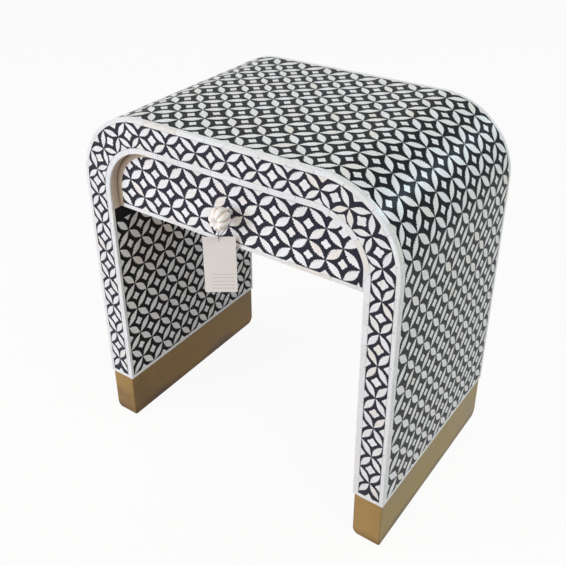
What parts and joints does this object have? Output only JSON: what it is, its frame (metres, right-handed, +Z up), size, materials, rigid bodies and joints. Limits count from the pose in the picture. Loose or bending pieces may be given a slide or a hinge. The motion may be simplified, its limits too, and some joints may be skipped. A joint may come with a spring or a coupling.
{
  "type": "nightstand",
  "caption": "One-drawer nightstand: an arched case with inlaid petals, metal-sleeved feet, a drawer under the top, and a lobed knob with a blank swing tag.",
  "frame": {"origin": "centre of the overall footprint, knob included, on the floor", "axes": "+X to the right of someone facing the drawer, +Y from the drawer to the back, +Z up"},
  "size_m": [0.52, 0.3607, 0.56],
  "materials": {
    "bone": "polished, slightly warm white",
    "resin": "smooth satin black",
    "case_wood": "planed, unfinished",
    "drawer_wood": "planed and waxed",
    "knob_bone": "carved and polished",
    "sleeve_brass": "brushed, slightly aged",
    "glide_plastic": "moulded",
    "fixing_steel": "zinc plated",
    "tag_paper": "uncoated card",
    "tag_thread": "waxed cotton"
  },
  "bodies": {
    "case": {"left_leg_core": "case_wood", "right_leg_core": "case_wood", "left_bend_core": "case_wood", "right_bend_core": "case_wood", "top_core": "case_wood", "bend_dowels": "case_wood", "outer_resin": "resin", "outer_edging": "bone", "left_inner_resin": "resin", "right_inner_resin": "resin", "inner_edging": "bone", "front_resin": "resin", "front_bone": "bone", "front_edging": "bone", "back_resin": "resin", "back_bone": "bone", "back_edging": "bone", "foot_strips": "bone", "opening_liner": "bone", "drawer_bay_lining": "case_wood", "back_liner": "bone", "left_foot_sleeve": "sleeve_brass", "right_foot_sleeve": "sleeve_brass", "floor_glides": "glide_plastic", "drawer_bay_floor": "case_wood", "back_panel": "case_wood", "left_runner": "case_wood", "right_runner": "case_wood", "left_guide": "case_wood", "right_guide": "case_wood", "left_kicker": "case_wood", "right_kicker": "case_wood", "drawer_stops": "case_wood", "drawer_catch": "case_wood"},
    "drawer": {"drawer_front_core": "case_wood", "drawer_front_resin": "resin", "drawer_front_bone": "bone", "drawer_front_edging": "bone", "drawer_left_side": "drawer_wood", "drawer_right_side": "drawer_wood", "drawer_back": "drawer_wood", "drawer_bottom": "drawer_wood", "knob_head": "knob_bone", "knob_neck": "knob_bone", "knob_screw": "fixing_steel", "knob_washer": "fixing_steel", "swing_tag": "tag_paper", "tag_thread": "tag_thread"}
  },
  "joints": [
    {"name": "drawer_slide", "type": "slide", "parent": "case", "child": "drawer", "axis": [0, -1, 0], "range_m": [0, 0.227]}
  ]
}
